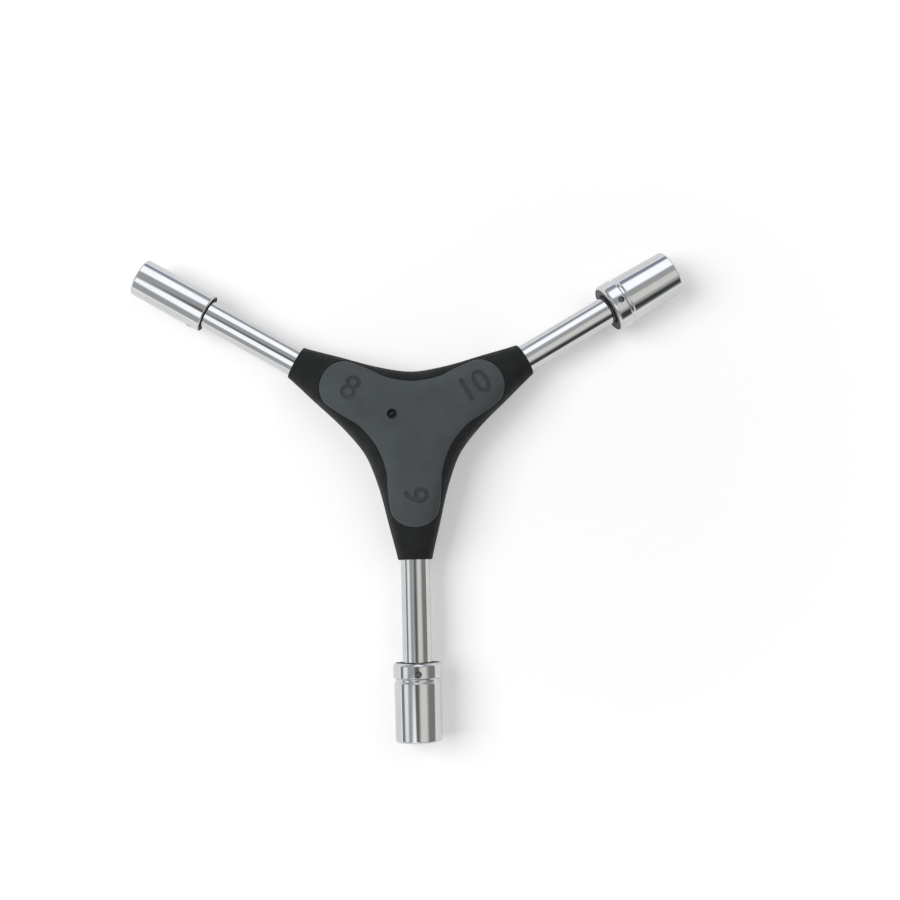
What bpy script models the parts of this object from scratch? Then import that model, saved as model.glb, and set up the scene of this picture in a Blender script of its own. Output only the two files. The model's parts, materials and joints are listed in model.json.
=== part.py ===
"""Y socket wrench for 8, 9 and 10 mm hexagons.

Three chromed sockets sit on steel shafts. The shafts meet in a steel hub, and a grey moulded
core with a black skin makes the grip. The wrench lies on its rear face: +Z is the front face's
normal, the 9 mm arm points to -Y, and the origin is on the rear face under the hub's centre.
"""
import math
from dataclasses import dataclass

import bmesh
import bpy
from mathutils import Matrix, Vector

MM = 0.001
DEGREE = math.pi / 180.0

# Driving dimensions
AXIS_HEIGHT = 8.5 * MM
ARM_SPREAD = 120.0 * DEGREE
LOWER_ANGLE = -90.0 * DEGREE
SMALL_HEX = 8.0 * MM
MIDDLE_HEX = 9.0 * MM
LARGE_HEX = 10.0 * MM
SHAFT_DIAMETER = 8.4 * MM
GRIP_REACH = 38.5 * MM
BARE_SHAFT = 29.2 * MM
SOCKET_LENGTH = 22.3 * MM

# Fits
FIT_GAP = 0.3 * MM
HEX_PLAY = 0.1 * MM
CUT_OVERRUN = 5.0 * MM
MERGE_DISTANCE = 0.001 * MM

# Sockets
SMALL_SOCKET_WALL = 1.05 * MM
MIDDLE_SOCKET_WALL = 1.5 * MM
LARGE_SOCKET_WALL = 1.35 * MM
SLIGHT_TAPER = 0.12 * MM
LARGE_TAPER = 0.4 * MM
COLLAR_LENGTH = 4.6 * MM
COLLAR_RISE = 0.25 * MM
SHOULDER_RADIUS = 1.0 * MM
PLAIN_SHOULDER_RADIUS = 0.4 * MM
GROOVE_WIDTH = 0.7 * MM
GROOVE_DEPTH = 0.35 * MM
MOUTH_CHAMFER = 0.45 * MM
HEX_DEPTH = 10.5 * MM
HEX_LEAD_IN = 0.35 * MM
SHAFT_POCKET_DEPTH = 8.0 * MM
POCKET_FLARE = 0.7 * MM

# Pins through the sockets' backs, and how much of any pin's radius its chamfered ends take
SOCKET_PIN_DIAMETER = 1.3 * MM
SOCKET_PIN_INSET = 3.0 * MM
SOCKET_PIN_RECESS = 0.35 * MM
PIN_CHAMFER_SHARE = 0.3

# Shafts and hub
SHAFT_CHAMFER = 0.6 * MM
HUB_BORE_START = 5.5 * MM
HUB_SLEEVE_LENGTH = 6.0 * MM
HUB_WALL = 1.4 * MM
HUB_BOSS_RADIUS = 9.0 * MM
HUB_PIN_DIAMETER = 2.4 * MM
HUB_PIN_INSET = 3.2 * MM
HUB_PIN_RECESS = 0.5 * MM

# Grip: its walls before and behind the hub, and the crown that the flat rear face takes off it
GRIP_HALF_WIDTH = 12.0 * MM
GRIP_FRONT_WALL = 1.9 * MM
GRIP_REAR_WALL = 1.6 * MM
GRIP_REAR_CROWN = 0.8 * MM
GRIP_END_WALL = 0.5 * MM
GRIP_CROTCH_REACH = 16.0 * MM
GRIP_ROOT_REACH = 8.0 * MM

# The grey face in the grip, and the hole that a mould's locating pin leaves in it
FACE_END_INSET = 9.0 * MM
FACE_CROTCH_INSET = 3.6 * MM
LOCATOR_HOLE_DIAMETER = 2.9 * MM
LOCATOR_HOLE_REACH = 6.7 * MM
LOCATOR_HOLE_ANGLE = 155.0 * DEGREE

# One station of a grip arm: its share of the arm's reach, then how far its sides and its
# thickness stand from the end's radius (0) towards the root's sizes (1), and how square it is
GRIP_SHARES = (
    # reach, width, thickness, squareness
    (0.34, 0.92, 1.00, 0.92),
    (0.52, 0.60, 0.97, 0.92),
    (0.71, 0.38, 0.70, 0.88),
    (0.87, 0.15, 0.26, 0.80),
    (1.00, 0.00, 0.00, 0.707),
)
HUB_SQUARE_SHARE = 0.92

# One station of a lobe of the grey face: its share of the face's reach, and its share of the
# grip's half-width there; past the last one the lobe ends in an arc
FACE_SHARES = (
    # reach, width
    (0.44, 0.71),
    (0.61, 0.79),
    (0.79, 0.85),
)
FACE_TIP_STEPS = 6

# Smoothness
SOCKET_STEPS = 36
SHAFT_STEPS = 24
PIN_STEPS = 12
SHOULDER_STEPS = 3
FACE_OUTLINE_STEPS = 3
GRIP_LEVELS = 2
HEX_SIDES = 6

CHROME = ("chrome", (0.59, 0.59, 0.60, 1.0), 1.0, 0.09)
STEEL = ("steel", (0.42, 0.42, 0.43, 1.0), 1.0, 0.38)
PIN_STEEL = ("pin_steel", (0.30, 0.30, 0.31, 1.0), 1.0, 0.35)
GREY_PLASTIC = ("grey_plastic", (0.056, 0.065, 0.069, 1.0), 0.0, 0.52)
BLACK_RUBBER = ("black_rubber", (0.014, 0.015, 0.015, 1.0), 0.0, 0.67)

# Worked out from the sizes above
SHAFT_BORE_RADIUS = SHAFT_DIAMETER / 2 + FIT_GAP
SLEEVE_RADIUS = SHAFT_BORE_RADIUS + HUB_WALL
GRIP_END_RADIUS = SHAFT_BORE_RADIUS + GRIP_END_WALL
SOCKET_BACK = GRIP_REACH + BARE_SHAFT
HUB_REACH = HUB_BOSS_RADIUS + HUB_SLEEVE_LENGTH
HUB_BOSS_HALF_HEIGHT = AXIS_HEIGHT - GRIP_REAR_WALL - FIT_GAP
GRIP_FRONT_RISE = HUB_BOSS_HALF_HEIGHT + FIT_GAP + GRIP_FRONT_WALL
GRIP_REAR_DROP = AXIS_HEIGHT + GRIP_REAR_CROWN
FACE_REACH = GRIP_REACH - FACE_END_INSET
FACE_CROTCH_REACH = GRIP_CROTCH_REACH - FACE_CROTCH_INSET
AXIS = Vector((0.0, 0.0, AXIS_HEIGHT))


@dataclass(frozen=True)
class Arm:
    """One of the three arms. They differ only in their direction and in their socket."""

    name: str
    angle: float
    hex_size: float
    wall: float
    taper: float
    has_collar: bool

    @property
    def direction(self):
        return polar(1.0, self.angle)

    @property
    def left_hand(self):
        """Unit vector across the arm, to the left of someone who looks outward along it."""
        return polar(1.0, self.angle + math.pi / 2)

    @property
    def hex_corner(self):
        """Distance from the socket's axis to a corner of its hexagon."""
        return (self.hex_size + HEX_PLAY) / 2 / math.cos(math.pi / HEX_SIDES)

    @property
    def socket_radius(self):
        """The wall stands round the hexagon's corners or the shaft's pocket, whichever is wider."""
        return max(self.hex_corner, SHAFT_BORE_RADIUS) + self.wall

    @property
    def back_radius(self):
        """Radius round the end where the shaft enters: the collar's, or the plain body's."""
        return self.socket_radius + (COLLAR_RISE if self.has_collar else 0.0)

    @property
    def shoulder_radius(self):
        return SHOULDER_RADIUS if self.has_collar else PLAIN_SHOULDER_RADIUS

    @property
    def pin_turn(self):
        """The socket's pin stands upright through a collar and lies across a plain body."""
        return 0.0 if self.has_collar else math.pi / 2


def polar(reach, angle):
    return Vector((reach * math.cos(angle), reach * math.sin(angle), 0.0))


def make_arms():
    """The lower, right and left arms, counter-clockwise seen from the front."""
    right = LOWER_ANGLE + ARM_SPREAD
    left = right + ARM_SPREAD
    return (
        Arm("9mm", LOWER_ANGLE, MIDDLE_HEX, MIDDLE_SOCKET_WALL, SLIGHT_TAPER, has_collar=True),
        Arm("10mm", right, LARGE_HEX, LARGE_SOCKET_WALL, LARGE_TAPER, has_collar=True),
        Arm("8mm", left, SMALL_HEX, SMALL_SOCKET_WALL, SLIGHT_TAPER, has_collar=False))


def clear_scene():
    for thing in list(bpy.data.objects):
        bpy.data.objects.remove(thing, do_unlink=True)


def make_collection(name):
    group = bpy.data.collections.new(name)
    bpy.context.scene.collection.children.link(group)
    return group


def make_material(name, colour, metallic, roughness):
    material = bpy.data.materials.new(name)
    material.use_nodes = True
    shader = material.node_tree.nodes["Principled BSDF"]
    shader.inputs["Base Color"].default_value = colour
    shader.inputs["Metallic"].default_value = metallic
    shader.inputs["Roughness"].default_value = roughness
    material.diffuse_color = colour
    return material


def add_object(name, mesh, group, matrix=None, finish=None):
    """A mesh object in its collection, with a material of its own if a finish is given."""
    thing = bpy.data.objects.new(name, mesh)
    group.objects.link(thing)
    if matrix is not None:
        thing.matrix_world = matrix
    if finish is not None:
        label, colour, metallic, roughness = finish
        mesh.materials.append(make_material(f"{name}_{label}", colour, metallic, roughness))
    return thing


def hide_cutter(thing):
    thing.hide_render = True
    thing.display_type = "WIRE"
    return thing


def boolean(thing, operation, cutter):
    modifier = thing.modifiers.new(f"{operation.lower()}_{cutter.name}", "BOOLEAN")
    modifier.operation = operation
    modifier.solver = "EXACT"
    modifier.object = cutter


def arm_matrix(arm, reach):
    """A frame on the arm's axis: local Z points outward and local X points up."""
    up = Vector((0.0, 0.0, 1.0))
    across = arm.direction.cross(up)
    turn = Matrix((up, across, arm.direction)).transposed().to_4x4()
    return Matrix.Translation(arm.direction * reach + AXIS) @ turn


def cylinder_mesh(name, radius, start, end, sides, first_corner=0.0):
    """A closed round or many-sided bar along local Z from start to end."""
    mesh = bpy.data.meshes.new(name)
    shape = bmesh.new()
    middle = Matrix.Translation((0.0, 0.0, (start + end) / 2))
    spin = Matrix.Rotation(first_corner, 4, "Z")
    bmesh.ops.create_cone(
        shape, cap_ends=True, cap_tris=False, segments=sides, radius1=radius,
        radius2=radius, depth=end - start, matrix=middle @ spin)
    shape.to_mesh(mesh)
    shape.free()
    return mesh


def bar_cutter(name, radius, start, end, sides, matrix, group, first_corner=0.0):
    mesh = cylinder_mesh(name, radius, start, end, sides, first_corner)
    return hide_cutter(add_object(name, mesh, group, matrix))


def turned(name, profile, steps, matrix, group, finish=None):
    """A turned solid: the profile runs from its top on the axis, down its outer side, to its foot."""
    mesh = bpy.data.meshes.new(name)
    points = [(radius, 0.0, height) for radius, height in profile]
    edges = [(i, i + 1) for i in range(len(points) - 1)]
    mesh.from_pydata(points, edges, [])
    thing = add_object(name, mesh, group, matrix, finish)
    screw = thing.modifiers.new("turn", "SCREW")
    screw.axis = "Z"
    screw.angle = 2 * math.pi
    screw.steps = steps
    screw.render_steps = steps
    screw.use_merge_vertices = True
    screw.merge_threshold = MERGE_DISTANCE
    screw.use_smooth_shade = True
    return thing


def quarter_round(radius, height, bend, steps):
    """Points of a convex quarter circle from a side at this radius down to a face at this height."""
    points = []
    for i in range(steps + 1):
        turn = math.pi / 2 * i / steps
        points.append((radius - bend + bend * math.cos(turn), height + bend - bend * math.sin(turn)))
    return points


def groove_profile(arm):
    """The groove between a socket's body and its collar."""
    floor = arm.socket_radius - GROOVE_DEPTH
    top = COLLAR_LENGTH + GROOVE_WIDTH
    return [
        (arm.socket_radius, top + GROOVE_DEPTH), (floor, top), (floor, COLLAR_LENGTH),
        (arm.back_radius, COLLAR_LENGTH - GROOVE_DEPTH)]


def socket_profile(arm):
    """Outer side of a socket: chamfered mouth, tapered body, any groove, and round shoulder."""
    mouth = arm.socket_radius - arm.taper
    points = [
        (0.0, SOCKET_LENGTH), (mouth - MOUTH_CHAMFER, SOCKET_LENGTH),
        (mouth, SOCKET_LENGTH - MOUTH_CHAMFER)]
    if arm.has_collar:
        points += groove_profile(arm)
    points += quarter_round(arm.back_radius, 0.0, arm.shoulder_radius, SHOULDER_STEPS)
    return points + [(0.0, 0.0)]


def make_socket(arm, parts, cutters):
    frame = arm_matrix(arm, SOCKET_BACK)
    socket = turned(f"socket_{arm.name}", socket_profile(arm), SOCKET_STEPS, frame, parts, CHROME)
    hexagon = bar_cutter(
        f"hex_cut_{arm.name}", arm.hex_corner, SOCKET_LENGTH - HEX_DEPTH,
        SOCKET_LENGTH + CUT_OVERRUN, HEX_SIDES, frame, cutters, first_corner=math.pi / HEX_SIDES)
    for cutter in (hexagon, lead_in(arm, frame, cutters), shaft_pocket(arm, frame, cutters),
                   socket_pin_hole(arm, cutters)):
        boolean(socket, "DIFFERENCE", cutter)
    return socket


def lead_in(arm, frame, cutters):
    """The cone that opens the hexagon's edges at the mouth."""
    widest = arm.hex_corner + HEX_LEAD_IN
    profile = [
        (0.0, SOCKET_LENGTH + CUT_OVERRUN), (widest, SOCKET_LENGTH + CUT_OVERRUN),
        (arm.hex_corner, SOCKET_LENGTH), (0.0, SOCKET_LENGTH - arm.hex_corner)]
    return hide_cutter(turned(f"lead_cut_{arm.name}", profile, SOCKET_STEPS, frame, cutters))


def shaft_pocket(arm, frame, cutters):
    """The bore for the shaft's end, with a flare where the shaft enters."""
    bottom = SHAFT_POCKET_DEPTH + FIT_GAP
    profile = [
        (0.0, bottom), (SHAFT_BORE_RADIUS, bottom), (SHAFT_BORE_RADIUS, POCKET_FLARE),
        (SHAFT_BORE_RADIUS + POCKET_FLARE + CUT_OVERRUN, -CUT_OVERRUN), (0.0, -CUT_OVERRUN)]
    return hide_cutter(turned(f"pocket_cut_{arm.name}", profile, SHAFT_STEPS, frame, cutters))


def cross_hole(name, diameter, frame, half_length, cutters):
    """A hole for a pin, made once and shared by the pieces that the pin goes through."""
    if name in cutters.objects:
        return cutters.objects[name]
    radius = diameter / 2 + FIT_GAP
    return bar_cutter(name, radius, -half_length, half_length, PIN_STEPS, frame, cutters)


def socket_pin_frame(arm):
    """A frame whose local Z runs along the pin that holds a socket."""
    place = arm.direction * (SOCKET_BACK + SOCKET_PIN_INSET) + AXIS
    return Matrix.Translation(place) @ Matrix.Rotation(arm.pin_turn, 4, arm.direction)


def hub_pin_frame(arm):
    return Matrix.Translation(arm.direction * (HUB_REACH - HUB_PIN_INSET) + AXIS)


def socket_pin_hole(arm, cutters):
    half_length = arm.socket_radius + CUT_OVERRUN
    name = f"socket_pin_cut_{arm.name}"
    return cross_hole(name, SOCKET_PIN_DIAMETER, socket_pin_frame(arm), half_length, cutters)


def hub_pin_hole(arm, cutters):
    half_length = SLEEVE_RADIUS + CUT_OVERRUN
    name = f"hub_pin_cut_{arm.name}"
    return cross_hole(name, HUB_PIN_DIAMETER, hub_pin_frame(arm), half_length, cutters)


def make_pin(name, diameter, half_length, frame, parts):
    """A dowel pin with chamfered ends, along the frame's local Z."""
    radius = diameter / 2
    chamfer = radius * PIN_CHAMFER_SHARE
    profile = [
        (0.0, half_length), (radius - chamfer, half_length), (radius, half_length - chamfer),
        (radius, chamfer - half_length), (radius - chamfer, -half_length), (0.0, -half_length)]
    return turned(name, profile, PIN_STEPS, frame, parts, PIN_STEEL)


def make_pins(arm, parts):
    outer = arm.back_radius - SOCKET_PIN_RECESS
    inner = SLEEVE_RADIUS - HUB_PIN_RECESS
    make_pin(f"socket_pin_{arm.name}", SOCKET_PIN_DIAMETER, outer, socket_pin_frame(arm), parts)
    make_pin(f"hub_pin_{arm.name}", HUB_PIN_DIAMETER, inner, hub_pin_frame(arm), parts)


def make_shaft(arm, parts, cutters):
    """A round bar from the hub's bore to the socket's pocket, drilled for its two pins."""
    start = HUB_BORE_START + FIT_GAP
    length = SOCKET_BACK + SHAFT_POCKET_DEPTH - start
    radius = SHAFT_DIAMETER / 2
    profile = [
        (0.0, length), (radius - SHAFT_CHAMFER, length), (radius, length - SHAFT_CHAMFER),
        (radius, SHAFT_CHAMFER), (radius - SHAFT_CHAMFER, 0.0), (0.0, 0.0)]
    shaft = turned(f"shaft_{arm.name}", profile, SHAFT_STEPS, arm_matrix(arm, start), parts, CHROME)
    boolean(shaft, "DIFFERENCE", socket_pin_hole(arm, cutters))
    boolean(shaft, "DIFFERENCE", hub_pin_hole(arm, cutters))
    return shaft


def make_hub(arms, parts, cutters):
    """A round boss with a sleeve for each shaft."""
    height = HUB_BOSS_HALF_HEIGHT
    boss = cylinder_mesh("hub_core", HUB_BOSS_RADIUS, -height, height, SOCKET_STEPS)
    hub = add_object("hub_core", boss, parts, Matrix.Translation(AXIS), STEEL)
    for arm in arms:
        sleeve = bar_cutter(
            f"sleeve_{arm.name}", SLEEVE_RADIUS, 0.0, HUB_REACH, SHAFT_STEPS, arm_matrix(arm, 0.0),
            cutters)
        boolean(hub, "UNION", sleeve)
    for arm in arms:
        bore = bar_cutter(
            f"hub_bore_cut_{arm.name}", SHAFT_BORE_RADIUS, HUB_BORE_START, HUB_REACH + CUT_OVERRUN,
            SHAFT_STEPS, arm_matrix(arm, 0.0), cutters)
        boolean(hub, "DIFFERENCE", bore)
        boolean(hub, "DIFFERENCE", hub_pin_hole(arm, cutters))
    return hub


def grip_sizes(shares):
    """Half-width, rise to the front and drop to the rear at one station of the grip."""
    _, width, thick, _ = shares
    return (
        GRIP_END_RADIUS + width * (GRIP_HALF_WIDTH - GRIP_END_RADIUS),
        GRIP_END_RADIUS + thick * (GRIP_FRONT_RISE - GRIP_END_RADIUS),
        GRIP_END_RADIUS + thick * (GRIP_REAR_DROP - GRIP_END_RADIUS))


def grip_half_width(reach):
    """The grip's half-width at any reach, between the stations' own."""
    stations = [(shares[0] * GRIP_REACH, grip_sizes(shares)[0]) for shares in GRIP_SHARES]
    for near, far in zip(stations, stations[1:]):
        if reach <= far[0]:
            break
    return near[1] + (far[1] - near[1]) * (reach - near[0]) / (far[0] - near[0])


def swell(size, square):
    """The cage stands outside the smooth surface that it makes, more so where it is rounder."""
    return size * 6 / (4 + 2 * square)


def edge_column(shape, place, inward, square, front, rear):
    """Three cage points at the grip's edge: front shoulder, middle and rear shoulder."""
    return [
        shape.verts.new(place + inward + AXIS + Vector((0.0, 0.0, square * front))),
        shape.verts.new(place + AXIS),
        shape.verts.new(place + inward + AXIS - Vector((0.0, 0.0, square * rear)))]


def middle_pair(shape, place, front, rear):
    """Front and rear cage points over an arm's axis."""
    return (
        shape.verts.new(place + AXIS + Vector((0.0, 0.0, front))),
        shape.verts.new(place + AXIS - Vector((0.0, 0.0, rear))))


def station_ring(shape, arm, shares):
    """Eight cage points round one station of an arm, from the front over its right-hand side."""
    square = shares[-1]
    width, front, rear = (swell(size, square) for size in grip_sizes(shares))
    place = arm.direction * shares[0] * GRIP_REACH
    edge = arm.left_hand * width
    left = edge_column(shape, place + edge, edge * (square - 1), square, front, rear)
    right = edge_column(shape, place - edge, edge * (1 - square), square, front, rear)
    top, foot = middle_pair(shape, place, front, rear)
    return [top, *right, foot, *reversed(left)]


def grip_cage(name, arms):
    """The coarse cage of the whole grip, solid, before anything is cut from it."""
    shape = bmesh.new()
    front = swell(GRIP_FRONT_RISE, HUB_SQUARE_SHARE)
    rear = swell(GRIP_REAR_DROP, HUB_SQUARE_SHARE)
    hub = middle_pair(shape, Vector(), front, rear)
    roots = [middle_pair(shape, arm.direction * GRIP_ROOT_REACH, front, rear) for arm in arms]
    crotches = []
    for arm in arms:
        place = polar(GRIP_CROTCH_REACH, arm.angle + ARM_SPREAD / 2)
        inward = polar(GRIP_HALF_WIDTH, arm.angle + ARM_SPREAD / 2) * (HUB_SQUARE_SHARE - 1)
        crotches.append(edge_column(shape, place, inward, HUB_SQUARE_SHARE, front, rear))
    for index, arm in enumerate(arms):
        after = (index + 1) % len(arms)
        for side, shoulder in ((0, 0), (1, 2)):
            corners = (hub[side], roots[index][side], crotches[index][shoulder], roots[after][side])
            shape.faces.new(corners)
        top, foot = roots[index]
        ring = [top, *crotches[index - 1], foot, *reversed(crotches[index])]
        for shares in GRIP_SHARES:
            following = station_ring(shape, arm, shares)
            bridge(shape, ring, following)
            ring = following
        shape.faces.new(ring)
    bmesh.ops.recalc_face_normals(shape, faces=shape.faces)
    mesh = bpy.data.meshes.new(name)
    shape.to_mesh(mesh)
    shape.free()
    sharpen_ends(mesh, arms)
    mesh.shade_smooth()
    return mesh


def bridge(shape, ring, following):
    for i in range(len(ring)):
        j = (i + 1) % len(ring)
        shape.faces.new((ring[i], ring[j], following[j], following[i]))


def sharpen_ends(mesh, arms):
    """The grip's three ends are cut square, so the edges round them are creased."""
    crease = mesh.attributes.new("crease_edge", "FLOAT", "EDGE")
    for edge in mesh.edges:
        ends = [mesh.vertices[i].co for i in edge.vertices]
        at_end = any(
            all(abs(point.dot(arm.direction) - GRIP_REACH) < MERGE_DISTANCE for point in ends)
            for arm in arms)
        crease.data[edge.index].value = 1.0 if at_end else 0.0


def smooth_grip(thing):
    surface = thing.modifiers.new("smooth", "SUBSURF")
    surface.levels = GRIP_LEVELS
    surface.render_levels = GRIP_LEVELS


def lobe_points(arm):
    """The grey face's outline round one lobe, from its right-hand side over the tip to its left."""
    side = []
    for reach_share, width_share in FACE_SHARES:
        reach = reach_share * FACE_REACH
        side.append((reach, width_share * grip_half_width(reach)))
    root, half_width = side.pop()
    tip = []
    for i in range(FACE_TIP_STEPS + 1):
        turn = math.pi * i / FACE_TIP_STEPS - math.pi / 2
        tip.append((root + (FACE_REACH - root) * math.cos(turn), half_width * math.sin(turn)))
    right = [(reach, -width) for reach, width in side]
    flat = right + tip + side[::-1]
    return [arm.direction * reach + arm.left_hand * across for reach, across in flat]


def face_outline(arms):
    """The grey face's closed outline, smooth through its lobes and the points between them."""
    points = []
    for arm in arms:
        points += lobe_points(arm)
        points.append(polar(FACE_CROTCH_REACH, arm.angle + ARM_SPREAD / 2))
    return smooth_loop(points, FACE_OUTLINE_STEPS)


def smooth_loop(points, steps):
    """A closed smooth curve through the points, with this many stretches between neighbours."""
    count = len(points)
    loop = []
    for i in range(count):
        before, here, after, beyond = (points[(i + k - 1) % count] for k in range(4))
        for step in range(steps):
            t = step / steps
            loop.append(
                here + (after - before) * (t / 2)
                + (before * 2 - here * 5 + after * 4 - beyond) * (t * t / 2)
                + (here * 3 - before - after * 3 + beyond) * (t ** 3 / 2))
    return loop


def grown(loop, distance):
    """The loop moved outward by a distance; the loop runs counter-clockwise."""
    moved = []
    for i, here in enumerate(loop):
        along = loop[(i + 1) % len(loop)] - loop[i - 1]
        outward = Vector((along.y, -along.x, 0.0)).normalized()
        moved.append(here + outward * distance)
    return moved


def prism_mesh(name, loop, group):
    """A flat outline extruded through the grip's whole thickness, made a mesh with welded caps."""
    half = (GRIP_FRONT_RISE + GRIP_REAR_DROP) / 2 + CUT_OVERRUN
    curve = bpy.data.curves.new(f"{name}_outline", "CURVE")
    curve.dimensions = "2D"
    curve.fill_mode = "BOTH"
    curve.extrude = half
    spline = curve.splines.new("POLY")
    spline.points.add(len(loop) - 1)
    for point, place in zip(spline.points, loop):
        point.co = (place.x, place.y, 0.0, 1.0)
    spline.use_cyclic_u = True
    drawn = bpy.data.objects.new(f"{name}_outline", curve)
    group.objects.link(drawn)
    drawn.location.z = AXIS_HEIGHT
    bpy.context.view_layer.update()
    evaluated = drawn.evaluated_get(bpy.context.evaluated_depsgraph_get())
    mesh = bpy.data.meshes.new_from_object(evaluated)
    mesh.name = name
    matrix = drawn.matrix_world.copy()
    bpy.data.objects.remove(drawn, do_unlink=True)
    shape = bmesh.new()
    shape.from_mesh(mesh)
    bmesh.ops.remove_doubles(shape, verts=shape.verts, dist=MERGE_DISTANCE)
    bmesh.ops.recalc_face_normals(shape, faces=shape.faces)
    shape.to_mesh(mesh)
    shape.free()
    return mesh, matrix


def ground_cutter(cutters):
    """Everything below the rest plane, wide enough for the whole grip."""
    reach = GRIP_REACH + CUT_OVERRUN
    deep = GRIP_REAR_DROP + CUT_OVERRUN
    mesh = bpy.data.meshes.new("ground_cut")
    shape = bmesh.new()
    size = Matrix.Diagonal((2 * reach, 2 * reach, deep, 1.0))
    bmesh.ops.create_cube(shape, size=1.0, matrix=Matrix.Translation((0.0, 0.0, -deep / 2)) @ size)
    shape.to_mesh(mesh)
    shape.free()
    return hide_cutter(add_object("ground_cut", mesh, cutters))


def shaft_hole(arm, cutters):
    name = f"shaft_cut_{arm.name}"
    if name in cutters.objects:
        return cutters.objects[name]
    far = GRIP_REACH + CUT_OVERRUN
    return bar_cutter(name, SHAFT_BORE_RADIUS, 0.0, far, SHAFT_STEPS, arm_matrix(arm, 0.0), cutters)


def hub_room(arms, cutters):
    """The cutters that make room for the hub: one round the boss and one round each sleeve."""
    height = HUB_BOSS_HALF_HEIGHT + FIT_GAP
    rooms = [bar_cutter(
        "boss_cut", HUB_BOSS_RADIUS + FIT_GAP, -height, height, SOCKET_STEPS,
        Matrix.Translation(AXIS), cutters)]
    for arm in arms:
        rooms.append(bar_cutter(
            f"sleeve_cut_{arm.name}", SLEEVE_RADIUS + FIT_GAP, 0.0, HUB_REACH + FIT_GAP,
            SHAFT_STEPS, arm_matrix(arm, 0.0), cutters))
    return rooms


def locator_hole(cutters):
    place = polar(LOCATOR_HOLE_REACH, LOCATOR_HOLE_ANGLE) + AXIS
    return bar_cutter(
        "locator_cut", LOCATOR_HOLE_DIAMETER / 2, 0.0, GRIP_FRONT_RISE + CUT_OVERRUN, PIN_STEPS,
        Matrix.Translation(place), cutters)


def make_core(arms, ground, parts, cutters):
    """The grey core: it shows on both faces and is moulded round the hub and the shafts."""
    mesh, matrix = prism_mesh("grip_core", face_outline(arms), cutters)
    core = add_object("grip_core", mesh, parts, matrix, GREY_PLASTIC)
    form = hide_cutter(add_object("grip_form", grip_cage("grip_form", arms), cutters))
    smooth_grip(form)
    boolean(core, "INTERSECT", form)
    boolean(core, "DIFFERENCE", ground)
    for room in hub_room(arms, cutters):
        boolean(core, "DIFFERENCE", room)
    for arm in arms:
        boolean(core, "DIFFERENCE", shaft_hole(arm, cutters))
    boolean(core, "DIFFERENCE", locator_hole(cutters))
    return core


def make_skin(arms, ground, parts, cutters):
    """The black skin: the grip's form with a window for the core and a hole for each shaft."""
    skin = add_object("grip_skin", grip_cage("grip_skin", arms), parts, finish=BLACK_RUBBER)
    smooth_grip(skin)
    mesh, matrix = prism_mesh("window_cut", grown(face_outline(arms), FIT_GAP), cutters)
    window = hide_cutter(add_object("window_cut", mesh, cutters, matrix))
    boolean(skin, "DIFFERENCE", window)
    boolean(skin, "DIFFERENCE", ground)
    for arm in arms:
        boolean(skin, "DIFFERENCE", shaft_hole(arm, cutters))
    return skin


def main():
    clear_scene()
    parts = make_collection("y_wrench")
    cutters = make_collection("cutters")
    arms = make_arms()
    for arm in arms:
        make_socket(arm, parts, cutters)
        make_shaft(arm, parts, cutters)
        make_pins(arm, parts)
    make_hub(arms, parts, cutters)
    ground = ground_cutter(cutters)
    make_core(arms, ground, parts, cutters)
    make_skin(arms, ground, parts, cutters)
    bpy.context.view_layer.update()


main()
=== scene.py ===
"""Looks of the Y socket wrench for 8, 9 and 10 mm hexagons.

The sockets, shafts and pins are turned again with softened edges. The grip's core and skin are cut
again from a finer form, with rounded edges along their seam and a plain size number on each lobe.
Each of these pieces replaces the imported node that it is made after, at the same sizes. The hub and
its pins, which nothing shows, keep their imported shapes.

The wrench lies on a pale floor under two soft lamps. A half-dome of studio cards over it, which only
shiny surfaces show, gives the chrome its streaks.
"""
import json
import math
from contextlib import contextmanager
from dataclasses import dataclass

import bmesh
import bpy
from mathutils import Matrix, Vector
from mathutils.bvhtree import BVHTree

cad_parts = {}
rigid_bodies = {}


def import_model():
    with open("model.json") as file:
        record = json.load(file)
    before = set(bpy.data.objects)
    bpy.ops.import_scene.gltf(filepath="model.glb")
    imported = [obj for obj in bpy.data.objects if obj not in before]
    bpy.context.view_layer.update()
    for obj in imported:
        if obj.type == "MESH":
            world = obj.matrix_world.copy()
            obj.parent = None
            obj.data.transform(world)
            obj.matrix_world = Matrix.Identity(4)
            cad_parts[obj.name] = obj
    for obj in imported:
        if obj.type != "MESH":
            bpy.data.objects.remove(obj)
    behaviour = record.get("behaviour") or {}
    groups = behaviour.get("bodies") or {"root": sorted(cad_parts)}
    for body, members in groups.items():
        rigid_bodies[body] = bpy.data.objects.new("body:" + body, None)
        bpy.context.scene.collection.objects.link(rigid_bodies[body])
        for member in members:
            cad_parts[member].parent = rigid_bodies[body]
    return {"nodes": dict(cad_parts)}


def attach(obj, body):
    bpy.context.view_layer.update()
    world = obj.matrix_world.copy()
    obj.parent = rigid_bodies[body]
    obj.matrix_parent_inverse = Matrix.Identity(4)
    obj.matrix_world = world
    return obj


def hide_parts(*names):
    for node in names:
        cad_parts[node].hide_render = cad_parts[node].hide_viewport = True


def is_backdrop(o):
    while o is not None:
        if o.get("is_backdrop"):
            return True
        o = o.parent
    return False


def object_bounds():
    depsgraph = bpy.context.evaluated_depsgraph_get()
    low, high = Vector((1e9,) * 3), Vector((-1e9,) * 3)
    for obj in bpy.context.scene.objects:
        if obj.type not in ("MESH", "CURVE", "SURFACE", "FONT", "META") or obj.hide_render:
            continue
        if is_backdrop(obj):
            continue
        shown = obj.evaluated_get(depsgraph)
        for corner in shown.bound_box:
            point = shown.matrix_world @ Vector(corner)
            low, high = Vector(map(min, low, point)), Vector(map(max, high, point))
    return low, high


for leftover in list(bpy.data.objects):
    bpy.data.objects.remove(leftover, do_unlink=True)
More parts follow.
